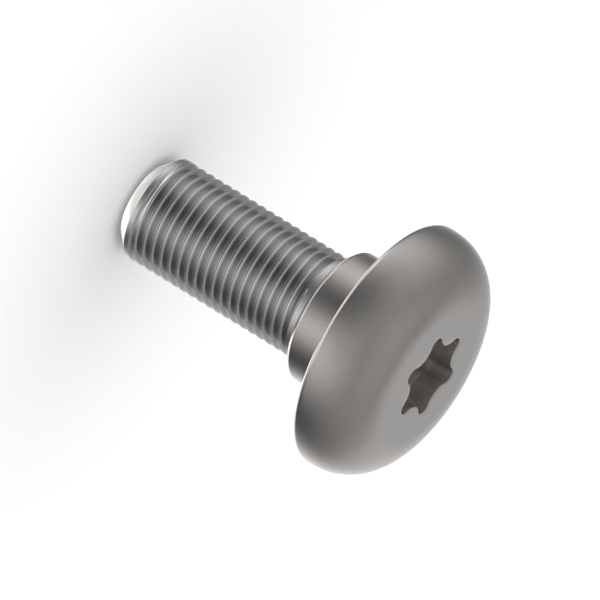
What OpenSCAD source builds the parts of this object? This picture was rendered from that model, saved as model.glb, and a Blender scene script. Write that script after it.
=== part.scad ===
// Dome-head screw with a hexalobular socket, a plain collar under the head and a fine
// right-hand metric thread. It is one turned and thread-rolled piece of steel.
//
// The origin is the centre of the bearing face under the head. +Z runs up the axis
// towards the driving face, so the collar, the shank and the tip lie below z = 0.

/* [Shank and tip] */
// Length from the bearing face under the head to the flat end of the tip
length = 20; // [16:0.5:60]
// Nominal thread diameter, which the plain bands at both ends of the thread have
thread_d = 8; // [7.5:0.05:9.5]
// Width of the 45 degree chamfer at the tip
tip_chamfer = 1.05; // [0.5:0.05:1.5]
// Length of the plain band between the tip chamfer and the thread
tip_band = 0.35; // [0.3:0.05:1.5]
// Length of the plain band between the thread and the collar
collar_band = 0.75; // [0.4:0.05:1.5]

/* [Thread] */
// Pitch, the distance from one crest to the next
pitch = 0.75; // [0.6:0.05:1.25]
// How far the crests stay under the nominal diameter, so that a nut runs freely
thread_play = 0.04; // [0.02:0.01:0.1]
// Length over which the groove deepens at the tip, so that a nut starts easily
thread_runin = 0.75; // [0.3:0.05:1.5]
// Length over which the groove fades out towards the collar
thread_runout = 0.25; // [0.2:0.05:1.5]
// Angle by which the helix is turned round the axis
thread_angle = 345; // [0:15:345]
// Flat facets round one turn of the thread
thread_facets = 48; // [36:4:60]

/* [Collar] */
// Diameter of the collar, which centres the outer part's hole
collar_d = 10.2; // [9.8:0.1:14]
// Length of the collar, from the bearing face
collar_l = 4; // [2:0.1:8]
// Width of the 45 degree chamfer on the collar's leading edge
collar_chamfer = 0.35; // [0.1:0.05:0.6]

/* [Head] */
// Diameter of the head
head_d = 19; // [17:0.5:26]
// Radius of the quarter round that runs from the rim to the flat driving face
dome_r = 4.05; // [3:0.05:4.6]
// Height of the straight part of the rim
rim_h = 0.35; // [0.1:0.05:1.5]
// Radius of the rounded lower edge of the rim
rim_r = 0.5; // [0.1:0.05:1]

/* [Drive socket] */
// Distance across two opposite lobes of the socket, drive number 40
drive_lobes_d = 6.75; // [6.4:0.05:7.2]
// Distance across two opposite teeth of the socket, drive number 40
drive_teeth_d = 4.85; // [4.5:0.05:5.1]
// Radius of the round end of each lobe
drive_lobe_r = 0.6; // [0.45:0.05:0.7]
// Depth of the socket below the driving face
drive_depth = 1.8; // [1:0.1:2.6]

/* [Hidden] */
$fn = 96;

// Metric thread form: flanks at 60 degrees, with crest and root each cut back from the
// sharp edge to a flat of an eighth of the pitch
crest_flat = pitch / 8;
root_flat = pitch / 8;
flank = (pitch - crest_flat - root_flat) / 2;
groove_depth = flank / tan(30);
crest_r = (thread_d - thread_play) / 2;

// Where the thread starts above the tip and ends below the collar
thread_low = -length + tip_chamfer + tip_band;
thread_high = -collar_l - collar_band;
// How far the threaded rod reaches into the plain bands, so that they are one solid
band_overlap = 0.25;

// One pitch of the form, as [height above its start, share of the groove's depth]: the
// crest, the flank going in, the root, and the flank coming out to the next crest
form = [
    [0, 0],
    [crest_flat, 0],
    [crest_flat + flank, 1],
    [crest_flat + flank + root_flat, 1]
];

// Head section
head_h = rim_r + rim_h + dome_r;
rim_top = rim_r + rim_h;
dome_centre = head_d / 2 - dome_r;

// Drive socket: six lobes, with a tooth between each two whose round flank is tangent to
// both. The tooth's radius follows from the law of cosines between the two centres.
drive_lobes = 6;
lobe_centre = drive_lobes_d / 2 - drive_lobe_r;
teeth_r = drive_teeth_d / 2;
tooth_bend = 2 * lobe_centre * cos(180 / drive_lobes);
tooth_r = (lobe_centre ^ 2 + teeth_r ^ 2 - teeth_r * tooth_bend - drive_lobe_r ^ 2)
    / (2 * drive_lobe_r + tooth_bend - 2 * teeth_r);
tooth_centre = teeth_r + tooth_r;
// The socket's cutter stands this far proud of the driving face
cut_clear = 0.5;

STEEL = [0.60, 0.59, 0.57];

// Share of the full groove depth at height z: none in the plain bands, rising to all of it
// over the run-in at the tip and the run-out at the collar
function groove_share(z) =
    max(0, min(1, (z - thread_low) / thread_runin, (thread_high - z) / thread_runout));

// The rod's surface is a grid: step runs along the helix with thread_facets to a turn, and
// place runs up one pitch of the form. Place 4 of a step is place 0 one whole turn later.
function helix_point(step, place) =
    let (
        turn = step / thread_facets,
        z = thread_low - band_overlap - pitch + pitch * turn + form[place][0],
        r = crest_r - groove_depth * form[place][1] * groove_share(z)
    )
    [r * cos(360 * turn), r * sin(360 * turn), z];

function helix_index(step, place) =
    place < len(form)
    ? step * len(form) + place
    : (step + thread_facets) * len(form) + place - len(form);

// A rod with the groove rolled into it along a right-hand helix. Each end of the helix is
// closed by triangles to a point on the axis, outside the stretch that the shank keeps.
module threaded_rod() {
    turns = ceil((thread_high - thread_low + 2 * band_overlap) / pitch) + 2;
    steps = turns * thread_facets;
    places = len(form);
    grid = [
        for (step = [0:steps])
            for (place = [0:places - 1])
                helix_point(step, place)
    ];
    low_centre = len(grid);
    high_centre = low_centre + 1;
    centres = [
        [0, 0, helix_point(0, 0)[2]],
        [0, 0, helix_point(steps, places - 1)[2]]
    ];
    last_turn = steps - thread_facets;
    low_edge = concat(
        [for (step = [0:thread_facets]) helix_index(step, 0)],
        [for (place = [places - 1:-1:1]) helix_index(0, place)]
    );
    high_edge = concat(
        [for (step = [last_turn:steps]) helix_index(step, places - 1)],
        [for (place = [places - 2:-1:0]) helix_index(steps, place)]
    );
    sides = [
        for (step = [0:steps - 1])
            for (place = [0:(step < last_turn ? places : places - 1) - 1])
                each [
                    [
                        helix_index(step, place),
                        helix_index(step, place + 1),
                        helix_index(step + 1, place)
                    ],
                    [
                        helix_index(step, place + 1),
                        helix_index(step + 1, place + 1),
                        helix_index(step + 1, place)
                    ]
                ]
    ];
    low_cap = [
        for (i = [0:len(low_edge) - 1])
            [low_edge[i], low_edge[(i + 1) % len(low_edge)], low_centre]
    ];
    high_cap = [
        for (i = [0:len(high_edge) - 1])
            [high_edge[(i + 1) % len(high_edge)], high_edge[i], high_centre]
    ];
    polyhedron(points = concat(grid, centres), faces = concat(sides, low_cap, high_cap));
}

// The stretch of threaded rod between the two plain bands
module thread() {
    low = thread_low - band_overlap;
    intersection() {
        rotate(thread_angle)
            threaded_rod();
        translate([0, 0, low])
            cylinder(r = thread_d, h = thread_high + band_overlap - low);
    }
}

// The tip: a flat end, the chamfer, and the plain band behind it
module tip() {
    translate([0, 0, -length]) {
        cylinder(r1 = thread_d / 2 - tip_chamfer, r2 = thread_d / 2, h = tip_chamfer);
        translate([0, 0, tip_chamfer])
            cylinder(d = thread_d, h = tip_band);
    }
}

// Half section of the collar and the plain band below it
module collar_section() {
    polygon([
        [0, thread_high],
        [thread_d / 2, thread_high],
        [thread_d / 2, -collar_l],
        [collar_d / 2 - collar_chamfer, -collar_l],
        [collar_d / 2, -collar_l + collar_chamfer],
        [collar_d / 2, 0],
        [0, 0]
    ]);
}

// Half section of the head: the flat driving face, the quarter-round dome, the straight
// rim and its rounded lower edge
module head_section() {
    square([dome_centre, head_h]);
    intersection() {
        translate([dome_centre, rim_top])
            circle(r = dome_r);
        translate([dome_centre, rim_top])
            square(dome_r);
    }
    square([head_d / 2 - rim_r, rim_top]);
    translate([0, rim_r])
        square([head_d / 2, rim_h]);
    translate([head_d / 2 - rim_r, rim_r])
        circle(r = rim_r);
}

// Outline of the drive socket. Its middle is a polygon through the points where the round
// flanks of lobes and teeth touch. The teeth are cut from it and the lobes are added.
module drive_outline() {
    lobe_at = [lobe_centre, 0];
    tooth_at = tooth_centre * [cos(180 / drive_lobes), sin(180 / drive_lobes)];
    touch = lobe_at + (tooth_at - lobe_at) * drive_lobe_r / (drive_lobe_r + tooth_r);
    touch_angle = atan2(touch[1], touch[0]);
    difference() {
        polygon([
            for (i = [0:drive_lobes - 1])
                for (side = [-1, 1])
                    let (angle = 360 / drive_lobes * i + side * touch_angle)
                    norm(touch) * [cos(angle), sin(angle)]
        ]);
        for (i = [0:drive_lobes - 1])
            rotate(360 / drive_lobes * (i + 0.5))
                translate([tooth_centre, 0])
                    circle(r = tooth_r);
    }
    for (i = [0:drive_lobes - 1])
        rotate(360 / drive_lobes * i)
            translate([lobe_centre, 0])
                circle(r = drive_lobe_r);
}

// The whole screw
module screw() {
    color(STEEL)
        difference() {
            union() {
                tip();
                thread();
                rotate_extrude()
                    collar_section();
                rotate_extrude()
                    head_section();
            }
            translate([0, 0, head_h - drive_depth])
                linear_extrude(drive_depth + cut_clear)
                    drive_outline();
        }
}

screw();
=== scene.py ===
# %% [markdown]
# # Dome-head screw with a collar
#
# This lesson dresses a small steel screw that was first built as one exact solid. On the
# real object everything seen here is a single piece: a wide domed head with a six-lobed
# socket, a plain collar that centres a hole, a fine right-hand thread and a chamfered tip.
#
# The solid is loaded as a fixed frame. It could simply be given a steel material, but its
# thread has flat facets. So the same form is worked out again here with finer steps, and
# the new piece stands in for the solid.

import math
from functools import partial

import bmesh
import bpy
import numpy as np
from mathutils import Matrix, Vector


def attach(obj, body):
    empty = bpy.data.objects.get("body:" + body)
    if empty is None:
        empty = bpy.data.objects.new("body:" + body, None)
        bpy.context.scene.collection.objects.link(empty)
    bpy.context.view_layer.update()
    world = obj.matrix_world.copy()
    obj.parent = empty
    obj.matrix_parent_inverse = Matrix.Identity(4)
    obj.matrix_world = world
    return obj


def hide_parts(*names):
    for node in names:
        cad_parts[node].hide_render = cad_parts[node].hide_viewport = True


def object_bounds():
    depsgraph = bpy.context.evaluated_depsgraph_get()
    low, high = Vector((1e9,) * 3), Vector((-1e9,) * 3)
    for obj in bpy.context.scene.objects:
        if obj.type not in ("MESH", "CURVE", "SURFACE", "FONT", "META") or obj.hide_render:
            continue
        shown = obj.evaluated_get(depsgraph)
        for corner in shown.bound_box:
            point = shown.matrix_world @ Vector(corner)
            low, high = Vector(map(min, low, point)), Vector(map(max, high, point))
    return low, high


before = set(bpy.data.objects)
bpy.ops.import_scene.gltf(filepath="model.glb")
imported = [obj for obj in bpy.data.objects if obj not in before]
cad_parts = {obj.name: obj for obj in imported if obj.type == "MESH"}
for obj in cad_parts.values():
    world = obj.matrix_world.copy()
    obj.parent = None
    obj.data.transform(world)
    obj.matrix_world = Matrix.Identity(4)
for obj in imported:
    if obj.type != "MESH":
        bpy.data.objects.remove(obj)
CAD_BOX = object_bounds()
MM = 0.001
print("nodes:", sorted(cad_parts), "box:", CAD_BOX)

# %% [markdown]
# ## Where the camera stands
#
# The photograph has no perspective: the far rim of the head is as wide as the near one, so
# it was taken from far away or drawn without perspective. An orthographic camera gives the
# same picture. A circle round the screw's axis looks 0.371 times as high as it is wide, and
# that is the sine of the angle at which the camera looks down, about 22 degrees. The camera
# is rolled, so the upright screw lies across the picture with its head at the lower right.

# %% Camera
PICTURE_PIXELS = 600
PIXELS_PER_MM = 14.4
CIRCLE_FLATNESS = 0.371
CAMERA_AZIMUTH = math.radians(16.74)
CAMERA_ELEVATION = math.asin(CIRCLE_FLATNESS)
CAMERA_ROLL = math.radians(31.55)
CAMERA_DISTANCE = 0.15
AIM = np.array([0.0, 0.0, -6.4]) * MM
AIM_RIGHTWARD = 0.225 * MM

back = np.array([
    math.sin(CAMERA_AZIMUTH) * math.cos(CAMERA_ELEVATION),
    -math.cos(CAMERA_AZIMUTH) * math.cos(CAMERA_ELEVATION),
    math.sin(CAMERA_ELEVATION),
])
rightward = np.array([math.cos(CAMERA_AZIMUTH), math.sin(CAMERA_AZIMUTH), 0.0])
axis_seen = np.array([0.0, 0.0, 1.0]) - back[2] * back
axis_seen /= np.linalg.norm(axis_seen)
screen_right = math.cos(CAMERA_ROLL) * axis_seen - math.sin(CAMERA_ROLL) * rightward
screen_up = -math.sin(CAMERA_ROLL) * axis_seen - math.cos(CAMERA_ROLL) * rightward

camera_data = bpy.data.cameras.new("camera")
camera_data.type = "ORTHO"
camera_data.ortho_scale = PICTURE_PIXELS / PIXELS_PER_MM * MM
camera_data.clip_start = 0.001
camera_data.clip_end = 10.0
camera = bpy.data.objects.new("camera", camera_data)
bpy.context.scene.collection.objects.link(camera)
pose = np.eye(4)
pose[:3, 0] = screen_right
pose[:3, 1] = screen_up
pose[:3, 2] = back
pose[:3, 3] = AIM + AIM_RIGHTWARD * rightward + CAMERA_DISTANCE * back
camera.matrix_world = Matrix(pose.tolist())
bpy.context.scene.camera = camera
print("camera at", [round(float(c), 4) for c in pose[:3, 3]])

# %% [markdown]
# ## The floor
#
# The screw stands on the flat end of its tip, on a plain pale floor. The floor is wide, so
# that low views don't see its end. It takes the screw's soft shadow, but it is kept out of
# the reflections: the steel in the photograph mirrors a studio with soft panels and dark
# gaps between them, all the way down, and a white floor would wash those out.

# %% Floor
FLOOR_HALF = 3.0
FLOOR_HEIGHT = CAD_BOX[0][2]
FLOOR_WHITE = 0.93

floor_mesh = bpy.data.meshes.new("floor")
floor_mesh.from_pydata(
    [(side_x * FLOOR_HALF, side_y * FLOOR_HALF, FLOOR_HEIGHT)
     for side_x, side_y in ((-1, -1), (1, -1), (1, 1), (-1, 1))],
    [], [(0, 1, 2, 3)])
floor = bpy.data.objects.new("floor", floor_mesh)
bpy.context.scene.collection.objects.link(floor)
floor.visible_glossy = False
floor.visible_shadow = False

paint = bpy.data.materials.new("pale_floor")
paint.use_nodes = True
paint_shader = paint.node_tree.nodes["Principled BSDF"]
paint_shader.inputs["Base Color"].default_value = (FLOOR_WHITE, FLOOR_WHITE, FLOOR_WHITE, 1.0)
paint_shader.inputs["Roughness"].default_value = 1.0
paint_shader.inputs["Specular IOR Level"].default_value = 0.0
floor_mesh.materials.append(paint)
print("floor at z =", FLOOR_HEIGHT)

# %% [markdown]
# ## The light
#
# Bright steel has almost no colour of its own: it shows what stands round it. A
# photographer would stand lit panels round the screw. Here the studio is drawn straight
# into the world, as a brightness for each direction, which gives the same soft streaks with
# no hard edges and little noise. The world and the steel are both built from Math nodes and
# ramps, so two helpers come first.

# %% Node helpers
def tree_math(tree, operation, a, b=0.0):
    """One Math node of a tree. Each of a and b is a number or another node's output."""
    node = tree.nodes.new("ShaderNodeMath")
    node.operation = operation
    for socket, value in zip(node.inputs, (a, b)):
        if isinstance(value, (int, float)):
            socket.default_value = value
        else:
            tree.links.new(value, socket)
    return node.outputs[0]


def grey_ramp(tree, position, greys):
    """A grey for a position from 0 to 1, straight between pairs of position and grey.

    The first pair is for the position 0 and the last for 1. A stop is made at its final
    place, because a stop that is moved later changes places with its neighbours.
    """
    ramp = tree.nodes.new("ShaderNodeValToRGB")
    tree.links.new(position, ramp.inputs["Fac"])
    stops = ramp.color_ramp.elements
    between = [stops.new(place) for place, grey in greys[1:-1]]
    for stop, (place, grey) in zip((stops[0], *between, stops[len(stops) - 1]), greys):
        stop.color = (grey, grey, grey, 1.0)
    return ramp.outputs["Color"]


print("helpers: tree_math and grey_ramp")

# %% World
world = bpy.data.worlds.new("studio")
bpy.context.scene.world = world
world.use_nodes = True
bpy.context.scene.view_settings.view_transform = "Standard"
studio = world.node_tree
studio.nodes.clear()
studio_math = partial(tree_math, studio)

direction = studio.nodes.new("ShaderNodeTexCoord").outputs["Generated"]
split = studio.nodes.new("ShaderNodeSeparateXYZ")
studio.links.new(direction, split.inputs[0])
height = split.outputs["Z"]
height_share = studio_math("MULTIPLY", studio_math("ADD", height, 1.0), 0.5)


def by_height(values):
    """A brightness for the height of a direction, from pairs of height and brightness.

    The height is the sine of the angle above the level: -1 is straight down, 1 straight up.
    Its place on the ramp is (height + 1) / 2.
    """
    return grey_ramp(studio, height_share, [((at + 1) / 2, bright) for at, bright in values])


def compass(side_angle):
    """The level direction at that many degrees from the camera's side towards the right."""
    turn = CAMERA_AZIMUTH - math.pi / 2 + math.radians(side_angle)
    return np.array([math.cos(turn), math.sin(turn), 0.0])


def glow_towards(looked_up, middle, focus, strength):
    """A soft glow: strength * exp(focus * (cosine of the angle from its middle - 1))."""
    dot = studio.nodes.new("ShaderNodeVectorMath")
    dot.operation = "DOT_PRODUCT"
    studio.links.new(looked_up, dot.inputs[0])
    dot.inputs[1].default_value = middle
    fall = studio_math("MULTIPLY", studio_math("SUBTRACT", dot.outputs["Value"], 1.0), focus)
    return studio_math("MULTIPLY", studio_math("EXPONENT", fall), strength)


print("the camera's side is towards", compass(0.0).round(3).tolist())

# %% [markdown]
# ## Three tall panels
#
# Three broad soft panels stand round the screw, roughly a third of a turn apart, with dark
# gaps between them. A panel is a glow by compass heading only, so it reaches all the way
# from low to high, and a ramp then sets how bright it is at each height. Low down the
# panels get narrower, by a power that rises from 1 to 1.6.

# %% Panels
PANELS = ((-81.9, 1.02), (35.8, 0.96), (166.4, 1.32))
PANEL_FOCUS = 5.0
PANEL_POWER = (("From Min", -0.65), ("From Max", -0.45), ("To Min", 1.6), ("To Max", 1.0))
PANEL_LIGHT = (
    (-1.0, 0.0), (-0.94, 0.0), (-0.9, 0.1), (-0.86, 0.55), (-0.8, 0.8), (-0.7, 0.55),
    (-0.62, 0.39), (-0.5, 0.42), (-0.37, 0.41), (-0.2, 0.345), (0.0, 0.276), (0.2, 0.214),
    (0.4, 0.152), (0.6, 0.074), (0.8, 0.0), (1.0, 0.0))

levelled = studio.nodes.new("ShaderNodeVectorMath")
levelled.operation = "MULTIPLY"
studio.links.new(direction, levelled.inputs[0])
levelled.inputs[1].default_value = (1.0, 1.0, 0.0)
heading = studio.nodes.new("ShaderNodeVectorMath")
heading.operation = "NORMALIZE"
studio.links.new(levelled.outputs["Vector"], heading.inputs[0])

panels = 0.0
for side_angle, strength in PANELS:
    panels = studio_math("ADD", panels, glow_towards(
        heading.outputs["Vector"], compass(side_angle), PANEL_FOCUS, strength))

narrowing = studio.nodes.new("ShaderNodeMapRange")
studio.links.new(height, narrowing.inputs["Value"])
for name, value in PANEL_POWER:
    narrowing.inputs[name].default_value = value
panels = studio_math("POWER", panels, narrowing.outputs["Result"])
panels = studio_math("MULTIPLY", panels, by_height(PANEL_LIGHT))
print(len(PANELS), "panels at", [side_angle for side_angle, strength in PANELS], "degrees")

# %% [markdown]
# ## The room, and a glow behind
#
# The room is dark towards the sides and darkest a little below them, paler above, and
# bright straight below, where the tip's chamfer looks. One small glow stands behind the
# screw and below it, for the chamfers. Steel gives back only a share of what it mirrors, so
# the sum is divided by that share: the numbers are what the steel shows, not what the room
# has. They were all found by trial against the picture, which shows no studio.

# %% Room and glow
ROOM_LIGHT = (
    (-1.0, 0.85), (-0.96, 0.62), (-0.92, 0.42), (-0.88, 0.36), (-0.8, 0.14), (-0.7, 0.04),
    (-0.62, 0.02), (-0.4, 0.01), (-0.2, 0.036), (0.0, 0.067), (1.0, 0.23))
STEEL_SHARE = 0.60
BEHIND_LEVEL = 0.64
BEHIND_DOWN = 0.77
BEHIND_FOCUS = 25.0
BEHIND_STRENGTH = 0.38

behind = compass(180.0) * BEHIND_LEVEL - np.array([0.0, 0.0, BEHIND_DOWN])
glow = studio_math("ADD", by_height(ROOM_LIGHT), panels)
glow = studio_math("ADD", glow, glow_towards(direction, behind, BEHIND_FOCUS, BEHIND_STRENGTH))
glow = studio_math("DIVIDE", glow, STEEL_SHARE)

background = studio.nodes.new("ShaderNodeBackground")
world_output = studio.nodes.new("ShaderNodeOutputWorld")
studio.links.new(glow, background.inputs["Color"])
studio.links.new(background.outputs[0], world_output.inputs["Surface"])
print("glow behind towards", behind.round(3).tolist())

# %% [markdown]
# ## A lamp for the floor
#
# A wide round lamp hangs overhead. It lights the floor and gives the screw a soft shadow.
# The steel is a pure mirror-like metal and the lamp is hidden from reflections, so it adds
# nothing to the screw itself.

# %% Lamp
LAMP_SIZE = 3.0
LAMP_HEIGHT = 1.0
LAMP_WATTS = 25.0

lamp_data = bpy.data.lights.new("overhead", "AREA")
lamp_data.shape = "DISK"
lamp_data.size = LAMP_SIZE
lamp_data.energy = LAMP_WATTS
lamp = bpy.data.objects.new("overhead", lamp_data)
lamp.location = (0.0, 0.0, LAMP_HEIGHT)
lamp.visible_glossy = False
bpy.context.scene.collection.objects.link(lamp)
print("lamp of", LAMP_WATTS, "W,", LAMP_SIZE, "m across")

# %% [markdown]
# ## Sizes of the screw
#
# The numbers are those of the solid, in millimetres: an M8 x 0.75 thread 20 mm long under a
# 19 mm head, with a number 40 socket.

# %% Sizes
LENGTH = 20.0
THREAD_R = 4.0
TIP_CHAMFER = 1.05
TIP_BAND = 0.35
COLLAR_BAND = 0.75
COLLAR_R = 5.1
COLLAR_L = 4.0
COLLAR_CHAMFER = 0.35
HEAD_R = 9.5
DOME_R = 4.05
RIM_H = 0.35
RIM_ROUND = 0.5
HEAD_H = RIM_ROUND + RIM_H + DOME_R
THREAD_LOW = -LENGTH + TIP_CHAMFER + TIP_BAND
THREAD_HIGH = -COLLAR_L - COLLAR_BAND
AROUND = 192
turn_share = np.arange(AROUND) / AROUND
print("thread from", THREAD_LOW, "to", THREAD_HIGH, "mm, head height", HEAD_H, "mm")

# %% [markdown]
# ## Turning a profile
#
# A lathe gives every part of the screw but the thread and the socket. Blender's Spin or
# Screw tool could turn a profile too. Here the profile is carried round the axis as one
# numpy array, so the rings can be joined with the thread's later. No real corner is
# perfectly sharp, so each corner of the profile gets its own small round, which catches a
# line of light.

# %% Profiles
TIP_EDGE = 0.05
COLLAR_INNER_EDGE = 0.08
COLLAR_LOWER_EDGE = 0.05
COLLAR_UPPER_EDGE = 0.3
UNDER_HEAD_ROUND = 0.1
TIP_STEP = math.radians(15)
HEAD_STEP = math.radians(9)


def rounded(corners, step):
    """A line through corners (radius, height, round), with an arc of that round at each.

    An arc touches both neighbouring straights: it starts and ends at round * tan(half the
    bend) from the corner, and it has a point at least every step of turn.
    """
    points = [np.array(corners[0][:2])]
    for before, corner, after in zip(corners, corners[1:], corners[2:]):
        here = np.array(corner[:2])
        if corner[2] == 0:
            points.append(here)
            continue
        into = here - np.array(before[:2])
        out = np.array(after[:2]) - here
        into, out = into / np.linalg.norm(into), out / np.linalg.norm(out)
        bend = math.atan2(into[0] * out[1] - into[1] * out[0], into @ out)
        reach = corner[2] * math.tan(abs(bend) / 2)
        side = np.array([-into[1], into[0]]) * math.copysign(corner[2], bend)
        middle = here - into * reach + side
        turns = np.linspace(0, bend, max(3, math.ceil(abs(bend) / step) + 1))
        cos, sin = np.cos(turns), np.sin(turns)
        points.extend(np.stack([middle[0] - side[0] * cos + side[1] * sin,
                                middle[1] - side[0] * sin - side[1] * cos], -1))
    points.append(np.array(corners[-1][:2]))
    return np.array(points)


def turned(profile):
    """Rings of a profile (radius, height) carried round the axis: (r cos t, r sin t, h)."""
    angle = 2 * math.pi * turn_share
    radius, level_of = profile[:, 0, None], profile[:, 1, None]
    return np.stack([radius * np.cos(angle), radius * np.sin(angle), level_of + 0 * angle], -1)


tip_profile = rounded([
    (0, -LENGTH, 0),
    (THREAD_R - TIP_CHAMFER, -LENGTH, TIP_EDGE),
    (THREAD_R, -LENGTH + TIP_CHAMFER, TIP_EDGE),
    (THREAD_R, THREAD_LOW, 0)], TIP_STEP)[1:]
upper_profile = rounded([
    (THREAD_R, THREAD_HIGH, 0),
    (THREAD_R, -COLLAR_L, COLLAR_INNER_EDGE),
    (COLLAR_R - COLLAR_CHAMFER, -COLLAR_L, COLLAR_LOWER_EDGE),
    (COLLAR_R, -COLLAR_L + COLLAR_CHAMFER, COLLAR_UPPER_EDGE),
    (COLLAR_R, 0, UNDER_HEAD_ROUND),
    (HEAD_R, 0, RIM_ROUND),
    (HEAD_R, HEAD_H, DOME_R),
    (HEAD_R - DOME_R, HEAD_H, 0)], HEAD_STEP)[:-1]
tip_rings = turned(tip_profile)
upper_rings = turned(upper_profile)
print(len(tip_rings), "rings at the tip,", len(upper_rings), "from thread to face")

# %% [markdown]
# ## The thread
#
# A thread is rolled between two dies, which press one groove along a helix. The Screw
# modifier could sweep a profile along a helix too, but its two ends would hang loose. Here
# each of the screw's meridians is a column of heights through all grooves. A column is a
# pitch further on after one turn, so the last column joins the first one whole pitch up.
# Heights past the ends of the thread are held at its ends, where the groove has faded to
# nothing, so thread and shank close up into one skin.

# %% Thread form
PITCH = 0.75
CREST_R = 3.98
CREST_FLAT = PITCH / 8
ROOT_FLAT = PITCH / 8
CREST_EDGE = 0.078
ROOT_EDGE = 0.04
GROOVE_DEPTH = (PITCH - CREST_FLAT - ROOT_FLAT) / 2 / math.tan(math.radians(30))


def groove_form():
    """One pitch of the thread as heights above its start and depths below the crest.

    Half a crest flat, a 60 degree flank in, a root flat, a flank out, and the other half of
    the crest. Each edge has a small round, which starts round * tan(30 degrees) before the
    edge. At the crest the rounds of both edges nearly meet, so the crest is almost round.
    """
    slope = math.tan(math.radians(30))
    half = np.radians(np.linspace(0, 60, 4))
    crest_reach, root_reach = CREST_EDGE * slope, ROOT_EDGE * slope
    crest = np.stack([CREST_FLAT / 2 - crest_reach + CREST_EDGE * np.sin(half),
                      CREST_EDGE * (1 - np.cos(half))], -1)
    root = np.stack([(PITCH - ROOT_FLAT) / 2 + root_reach - ROOT_EDGE * np.sin(half[::-1]),
                     GROOVE_DEPTH - ROOT_EDGE * (1 - np.cos(half[::-1]))], -1)
    flank = crest[-1] + (root[0] - crest[-1]) * np.array([[0.33], [0.67]])
    halfway = np.concatenate([crest, flank, root])
    mirrored = np.stack([PITCH - halfway[::-1, 0], halfway[::-1, 1]], -1)
    return np.concatenate([halfway, mirrored]) + [CREST_FLAT / 2, 0]


form = groove_form()
print(len(form), "points in one pitch, depth", round(float(form[:, 1].max()), 3))

# %% Thread surface
RUN_IN = 0.75
RUN_OUT = 0.25
HELIX_ANGLE = 345
BAND_OVERLAP = 0.25

first_crest = THREAD_LOW - BAND_OVERLAP - PITCH - PITCH * HELIX_ANGLE / 360
turns = math.ceil((THREAD_HIGH - first_crest) / PITCH) + 1
rise = PITCH * turn_share[:, None, None]
pitches = PITCH * np.arange(turns)[None, :, None]
heights = (first_crest + rise + pitches + form[None, None, :, 0]).reshape(AROUND, -1)
depths = np.broadcast_to(form[:, 1], (AROUND, turns, len(form))).reshape(AROUND, -1)
held = np.clip(heights, THREAD_LOW, THREAD_HIGH)
share = np.clip(np.minimum((held - THREAD_LOW) / RUN_IN, (THREAD_HIGH - held) / RUN_OUT), 0, 1)
radii = CREST_R - depths * share
angle = 2 * math.pi * turn_share[:, None]
thread_points = np.stack([radii * np.cos(angle), radii * np.sin(angle), held], -1)
print("thread grid", thread_points.shape)

# %% [markdown]
# ## The socket
#
# The drive socket is punched into the face. Its outline is six round lobes and six round
# teeth that run smoothly into each other. A boolean cut would do it, but leaves long thin
# triangles. The outline is sampled arc by arc instead, with as many points as a ring of the
# dome has, so the flat face can be drawn as rings that change from the outline to a circle.

# %% Socket outline
LOBES_ACROSS = 6.75
TEETH_ACROSS = 4.85
LOBE_R = 0.6
LOBE_MIDDLE = LOBES_ACROSS / 2 - LOBE_R
TEETH_R = TEETH_ACROSS / 2
bend_share = 2 * LOBE_MIDDLE * math.cos(math.pi / 6)
TOOTH_R = ((LOBE_MIDDLE ** 2 + TEETH_R ** 2 - TEETH_R * bend_share - LOBE_R ** 2)
           / (2 * LOBE_R + bend_share - 2 * TEETH_R))
TOOTH_MIDDLE = TEETH_R + TOOTH_R


def socket_outline(widen):
    """The socket's outline moved outwards by widen: lobes grow by it and teeth shrink.

    Each sixth of a turn is a lobe's arc and then a tooth's arc, and the first point is the
    middle of the lobe on +X.
    """
    lobe = np.array([LOBE_MIDDLE, 0.0])
    tooth = TOOTH_MIDDLE * np.array([math.cos(math.pi / 6), math.sin(math.pi / 6)])
    touch = math.atan2(tooth[1] - lobe[1], tooth[0] - lobe[0])
    per_arc = AROUND // 12
    lobe_turn = np.linspace(-touch, touch, per_arc, endpoint=False)
    tooth_turn = np.linspace(math.pi + touch, math.pi / 3 + math.pi - touch, per_arc,
                             endpoint=False)
    lobe_arc = lobe + (LOBE_R + widen) * np.stack([np.cos(lobe_turn), np.sin(lobe_turn)], -1)
    tooth_arc = tooth + (TOOTH_R - widen) * np.stack([np.cos(tooth_turn), np.sin(tooth_turn)], -1)
    sixth = np.concatenate([lobe_arc, tooth_arc])
    turn = np.arange(6)[:, None] * math.pi / 3
    x = sixth[:, 0] * np.cos(turn) - sixth[:, 1] * np.sin(turn)
    y = sixth[:, 0] * np.sin(turn) + sixth[:, 1] * np.cos(turn)
    return np.roll(np.stack([x.ravel(), y.ravel()], -1), -per_arc // 2, axis=0)


outline = socket_outline(0.0)
print("across lobes", round(2 * float(np.hypot(*outline.T).max()), 3),
      "across teeth", round(2 * float(np.hypot(*outline.T).min()), 3))

# %% Face and socket rings
SOCKET_DEPTH = 1.8
MOUTH_ROUND = 0.05
FOOT_ROUND = 0.06
QUARTER_TURN = np.radians([0, 22.5, 45, 67.5, 90])
socket_floor = HEAD_H - SOCKET_DEPTH


def level(flat, at_height):
    """A ring of points in the plane at that height."""
    return np.concatenate([flat, np.full((len(flat), 1), at_height)], axis=1)


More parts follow.
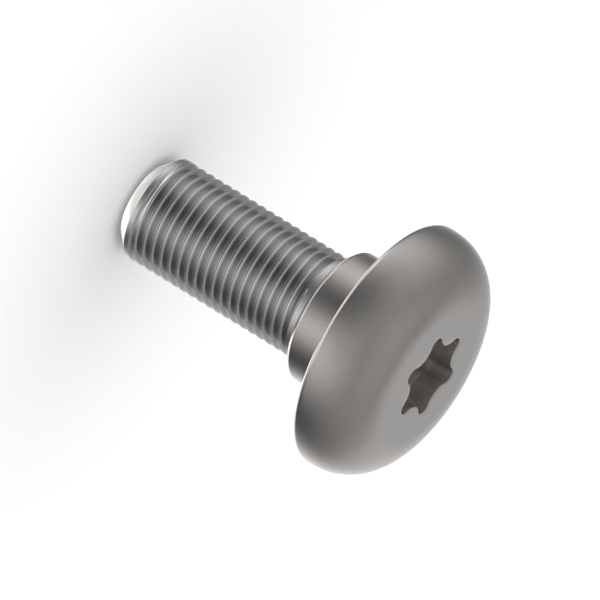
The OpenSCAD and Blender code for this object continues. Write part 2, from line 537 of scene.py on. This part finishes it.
face_edge = upper_rings[-1, :, :2]
mouth = socket_outline(MOUTH_ROUND)
face_rings = [level(face_edge + (mouth - face_edge) * part, HEAD_H)
              for part in np.linspace(0.2, 1, 5)]
mouth_rings = [level(socket_outline(MOUTH_ROUND * (1 - math.sin(t))),
                     HEAD_H - MOUTH_ROUND * (1 - math.cos(t)))
               for t in QUARTER_TURN[1:]]
foot_rings = [level(socket_outline(-FOOT_ROUND * (1 - math.cos(t))),
                    socket_floor + FOOT_ROUND * (1 - math.sin(t)))
              for t in QUARTER_TURN]
floor_rings = [level(socket_outline(-FOOT_ROUND) * part, socket_floor)
               for part in (0.75, 0.5, 0.25)]
head_rings = np.array([*upper_rings, *face_rings, *mouth_rings, *foot_rings, *floor_rings])
print(len(head_rings), "rings from the thread to the socket's floor")

# %% [markdown]
# ## One skin
#
# All blocks go into one mesh: the tip's rings, the thread's columns, the head's rings, and a
# point in the middle of each end. Points that were held at the ends of the thread lie on
# each other, so they are merged, and the faces between them vanish with them.

# %% Faces
def quads(low_a, low_b, high_b, high_a):
    """Faces from four index arrays of one shape, wound so that they point outwards."""
    return np.stack([low_a, low_b, high_b, high_a], -1).reshape(-1, 4)


def bridge(lower, upper):
    """Faces between two rings that are given as indices."""
    return quads(lower, np.roll(lower, -1), np.roll(upper, -1), upper)


def ring_quads(first, rings):
    """Faces between neighbouring rings of AROUND points, from index first on."""
    index = first + np.arange(rings * AROUND).reshape(rings, AROUND)
    beside = np.roll(index, -1, axis=1)
    return quads(index[:-1], beside[:-1], beside[1:], index[1:])


blocks = [np.array([[0, 0, -LENGTH]]), tip_rings.reshape(-1, 3), thread_points.reshape(-1, 3),
          head_rings.reshape(-1, 3), np.array([[0, 0, socket_floor]])]
starts = np.cumsum([0] + [len(block) for block in blocks])
points = np.concatenate(blocks)

column = starts[2] + np.arange(len(blocks[2])).reshape(AROUND, -1)
a_turn = len(form)
ring = np.arange(AROUND)
middle_low = np.full(AROUND, starts[0])
middle_high = np.full(AROUND, starts[4])

faces = np.concatenate([
    bridge(middle_low, starts[1] + ring),
    ring_quads(starts[1], len(tip_rings)),
    bridge(starts[2] - AROUND + ring, column[:, 0]),
    quads(column[:-1, :-1], column[1:, :-1], column[1:, 1:], column[:-1, 1:]),
    quads(column[-1, :-a_turn - 1], column[0, a_turn:-1],
          column[0, a_turn + 1:], column[-1, 1:-a_turn]),
    bridge(column[:, -1], starts[3] + ring),
    ring_quads(starts[3], len(head_rings)),
    bridge(starts[4] - AROUND + ring, middle_high),
])
print(len(points), "points and", len(faces), "faces before merging")

# %% Screw mesh
MERGE_WITHIN = 1e-7
SHORTEST_EDGE = 1e-8
SHARP_FROM = math.radians(30)

steel_mesh = bpy.data.meshes.new("steel_screw")
steel_mesh.from_pydata((points * MM).tolist(), [],
                       [tuple(dict.fromkeys(face)) for face in faces.tolist()])
skin = bmesh.new()
skin.from_mesh(steel_mesh)
bmesh.ops.remove_doubles(skin, verts=skin.verts, dist=MERGE_WITHIN)
bmesh.ops.dissolve_degenerate(skin, edges=skin.edges, dist=SHORTEST_EDGE)
skin.to_mesh(steel_mesh)
open_edges = sum(not edge.is_manifold for edge in skin.edges)
volume = skin.calc_volume(signed=True) / MM ** 3
skin.free()
steel_mesh.polygons.foreach_set("use_smooth", np.ones(len(steel_mesh.polygons), bool))
steel_mesh.set_sharp_from_angle(angle=SHARP_FROM)
steel_screw = bpy.data.objects.new("steel_screw", steel_mesh)
bpy.context.scene.collection.objects.link(steel_screw)
triangles = sum(len(polygon.vertices) - 2 for polygon in steel_mesh.polygons)
print(triangles, "triangles,", open_edges, "open edges,", round(volume, 1), "cubic mm")

# %% [markdown]
# ## Satin steel
#
# The real finish is bare steel, dulled a little by the dies and by tumbling. Its shine comes
# from the shader's Metallic and Roughness. Everything else is worked out from the Object
# coordinates, so it stays on the steel whichever way it is seen. First come the distance
# from the axis, the height, and a path that runs along with the tool as the screw turns.

# %% Steel coordinates
RING_WOBBLE = 0.04 * MM

steel = bpy.data.materials.new("satin_steel")
steel.use_nodes = True
tree = steel.node_tree
shader = tree.nodes["Principled BSDF"]
shader.inputs["Metallic"].default_value = 1.0
steel_math = partial(tree_math, tree)

place = tree.nodes.new("ShaderNodeTexCoord").outputs["Object"]
parts = tree.nodes.new("ShaderNodeSeparateXYZ")
tree.links.new(place, parts.inputs[0])
x, y, z = parts.outputs
from_axis = steel_math("SQRT", steel_math("ADD", steel_math("MULTIPLY", x, x),
                                          steel_math("MULTIPLY", y, y)))
around = steel_math("ARCTAN2", y, x)
tool_path = tree.nodes.new("ShaderNodeCombineXYZ")
tree.links.new(from_axis, tool_path.inputs[0])
tree.links.new(z, tool_path.inputs[1])
tree.links.new(steel_math("MULTIPLY", steel_math("SINE", around), RING_WOBBLE),
               tool_path.inputs[2])
print("material", steel.name)

# %% [markdown]
# ## Marks and clouds
#
# A cutting tool leaves fine rings round the axis, a die leaves a fine grain, and handling
# leaves a faint cloudiness. Each is a noise. The rings come from giving the noise the tool's
# path instead of the place, so it hardly changes round a turn.

# %% Noises
MARKS_SCALE = 14000.0
CLOUDS_SCALE = 420.0
GRAIN_SCALE = 16000.0


def noise(coordinates, scale, detail):
    """A noise of that scale, in waves to the metre, mostly between 0.3 and 0.7."""
    node = tree.nodes.new("ShaderNodeTexNoise")
    node.inputs["Scale"].default_value = scale
    node.inputs["Detail"].default_value = detail
    tree.links.new(coordinates, node.inputs["Vector"])
    return node.outputs["Fac"]


def spread(value, low, high):
    """A noise value, mostly between 0.3 and 0.7, stretched to run from low to high."""
    node = tree.nodes.new("ShaderNodeMapRange")
    for name, bound in (("From Min", 0.3), ("From Max", 0.7), ("To Min", low), ("To Max", high)):
        node.inputs[name].default_value = bound
    tree.links.new(value, node.inputs["Value"])
    return node.outputs["Result"]


tool_marks = noise(tool_path.outputs[0], MARKS_SCALE, 2.0)
clouds = noise(place, CLOUDS_SCALE, 4.0)
grain = noise(place, GRAIN_SCALE, 2.0)
print("marks about", round(1000 / MARKS_SCALE, 3), "mm apart")

# %% [markdown]
# ## Zones
#
# Some places get a colour of their own, which paints light and shade in: lighter crests on
# the thread, partly wear and partly a painted highlight, with painted shade below them; a
# band under the collar painted brighter against the collar's shade; a cooler face, a painted
# reflection; and a darker socket floor, painted shade in the recess. Each zone is a number
# that is 1 inside it and 0 elsewhere, from the height and the distance from the axis. The
# margins keep a zone's border off a corner.

# %% Zones of the surface
SOCKET_REACH = 3.45
FACE_MARGIN = 0.01
FLOOR_MARGIN = 0.04
BAND_MARGIN = 0.001

on_face = steel_math("GREATER_THAN", z, (HEAD_H - FACE_MARGIN) * MM)
on_thread = steel_math("MULTIPLY", steel_math("LESS_THAN", z, THREAD_HIGH * MM),
                       steel_math("GREATER_THAN", z, (-LENGTH + TIP_CHAMFER) * MM))
on_band = steel_math("MULTIPLY", steel_math("GREATER_THAN", z, THREAD_HIGH * MM),
                     steel_math("LESS_THAN", z, (-COLLAR_L + BAND_MARGIN) * MM))
outside_socket = steel_math("MAXIMUM", on_face,
                            steel_math("GREATER_THAN", from_axis, SOCKET_REACH * MM))
outside_socket = steel_math("MAXIMUM", outside_socket, steel_math("LESS_THAN", z, 0.0))
on_socket_floor = steel_math("MULTIPLY", steel_math("SUBTRACT", 1.0, outside_socket),
                             steel_math("LESS_THAN", z, (socket_floor + FLOOR_MARGIN) * MM))
print("socket zone within", SOCKET_REACH, "mm of the axis")

# %% [markdown]
# ## Colours
#
# The head, the collar and the tip's chamfer are a slightly warm grey that varies with the
# clouds. The thread is neutral, and its colour goes by the height up the flank: the crests
# are lighter, partly as rubbed wear and partly as a painted highlight, and the flank just
# below them is darker, a painted shade. The tones are stronger than real wear would give:
# the picture's thread has more contrast than real reflections in so fine a groove allow.
# The band under the collar is painted brighter to make up for the collar's shade, the
# socket's floor is painted darker for the shade in its recess, and the face gets a cooler
# tint that is a painted reflection.

# %% Steel colours
STEEL_DARK = (0.603, 0.575, 0.552, 1.0)
STEEL_LIGHT = (0.643, 0.613, 0.588, 1.0)
# Thread tones: lighter crests are partly rubbed wear and partly a painted highlight; the darker
# flank below them is painted shade.
THREAD_WEAR_HIGHLIGHT_AND_SHADE = (
    (0.0, 0.62), (0.35, 0.6), (0.55, 0.53), (0.72, 0.54), (0.82, 0.66), (0.9, 0.75), (1.0, 0.77))
# Socket floor: a darker grey, painted shade for the bottom of the recess.
SOCKET_FLOOR_PAINTED_SHADE = (0.48, 0.465, 0.448, 1.0)
# Band under the collar: a brighter grey, painted light that makes up for the collar's shade.
BAND_PAINTED_LIGHT = (0.78, 0.755, 0.735, 1.0)
# Driving face: a cooler grey, a painted reflection of cooler light from above.
FACE_PAINTED_REFLECTION = (0.603, 0.588, 0.57, 1.0)


def mixed(under, over, share_over):
    """A colour between two others: under * (1 - share) + over * share.

    Each of the two is a colour or another node's output.
    """
    node = tree.nodes.new("ShaderNodeMix")
    node.data_type = "RGBA"
    tree.links.new(share_over, node.inputs["Factor"])
    for name, value in (("A", under), ("B", over)):
        if isinstance(value, tuple):
            node.inputs[name].default_value = value
        else:
            tree.links.new(value, node.inputs[name])
    return node.outputs["Result"]


up_flank = tree.nodes.new("ShaderNodeMapRange")
up_flank.inputs["From Min"].default_value = (CREST_R - GROOVE_DEPTH) * MM
up_flank.inputs["From Max"].default_value = CREST_R * MM
tree.links.new(from_axis, up_flank.inputs["Value"])

colour = mixed(STEEL_DARK, STEEL_LIGHT, spread(clouds, 0.0, 1.0))
# The thread gets a painted highlight on its crests and painted shade on the flank below them.
colour = mixed(colour, grey_ramp(tree, up_flank.outputs["Result"], THREAD_WEAR_HIGHLIGHT_AND_SHADE), on_thread)
# The socket's floor is painted darker, for the shade in the recess.
colour = mixed(colour, SOCKET_FLOOR_PAINTED_SHADE, on_socket_floor)
# The band under the collar is painted brighter, to make up for the collar's shade.
colour = mixed(colour, BAND_PAINTED_LIGHT, on_band)
# The face gets a cooler tint, a painted reflection.
colour = mixed(colour, FACE_PAINTED_REFLECTION, on_face)
tree.links.new(colour, shader.inputs["Base Color"])
print("steel between", STEEL_DARK[:3], "and", STEEL_LIGHT[:3])

# %% [markdown]
# ## Shine and relief
#
# The clouds and the tool marks change the roughness a little, and the marks and the grain
# also give a very low relief, for a fine satin finish. The punched socket is nearly twice
# as rough and has no relief, because relief in so narrow a place only breaks up its
# reflections.

# %% Roughness and bump
CLOUDS_ROUGHNESS = (0.17, 0.2)
MARKS_ROUGHNESS = (-0.02, 0.02)
SOCKET_ROUGHER = 1.9
RELIEF = 0.002 * MM
MARKS_STRENGTH = 0.12
GRAIN_STRENGTH = 0.1


def relief(height_of, strength, under=None):
    """The normal of a low relief outside the socket, on top of another normal if given."""
    node = tree.nodes.new("ShaderNodeBump")
    node.inputs["Distance"].default_value = RELIEF
    tree.links.new(steel_math("MULTIPLY", outside_socket, strength), node.inputs["Strength"])
    tree.links.new(height_of, node.inputs["Height"])
    if under is not None:
        tree.links.new(under, node.inputs["Normal"])
    return node.outputs["Normal"]


roughness = steel_math("ADD", spread(clouds, *CLOUDS_ROUGHNESS),
                       spread(tool_marks, *MARKS_ROUGHNESS))
rougher = steel_math("SUBTRACT", SOCKET_ROUGHER,
                     steel_math("MULTIPLY", outside_socket, SOCKET_ROUGHER - 1))
tree.links.new(steel_math("MULTIPLY", roughness, rougher), shader.inputs["Roughness"])

normal = relief(grain, GRAIN_STRENGTH, relief(tool_marks, MARKS_STRENGTH))
tree.links.new(normal, shader.inputs["Normal"])
steel_mesh.materials.append(steel)
print("roughness from", sum(low for low, high in (CLOUDS_ROUGHNESS, MARKS_ROUGHNESS)),
      "to", sum(high for low, high in (CLOUDS_ROUGHNESS, MARKS_ROUGHNESS)))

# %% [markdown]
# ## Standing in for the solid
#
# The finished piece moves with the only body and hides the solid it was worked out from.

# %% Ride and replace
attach(steel_screw, "root")
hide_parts("screw")
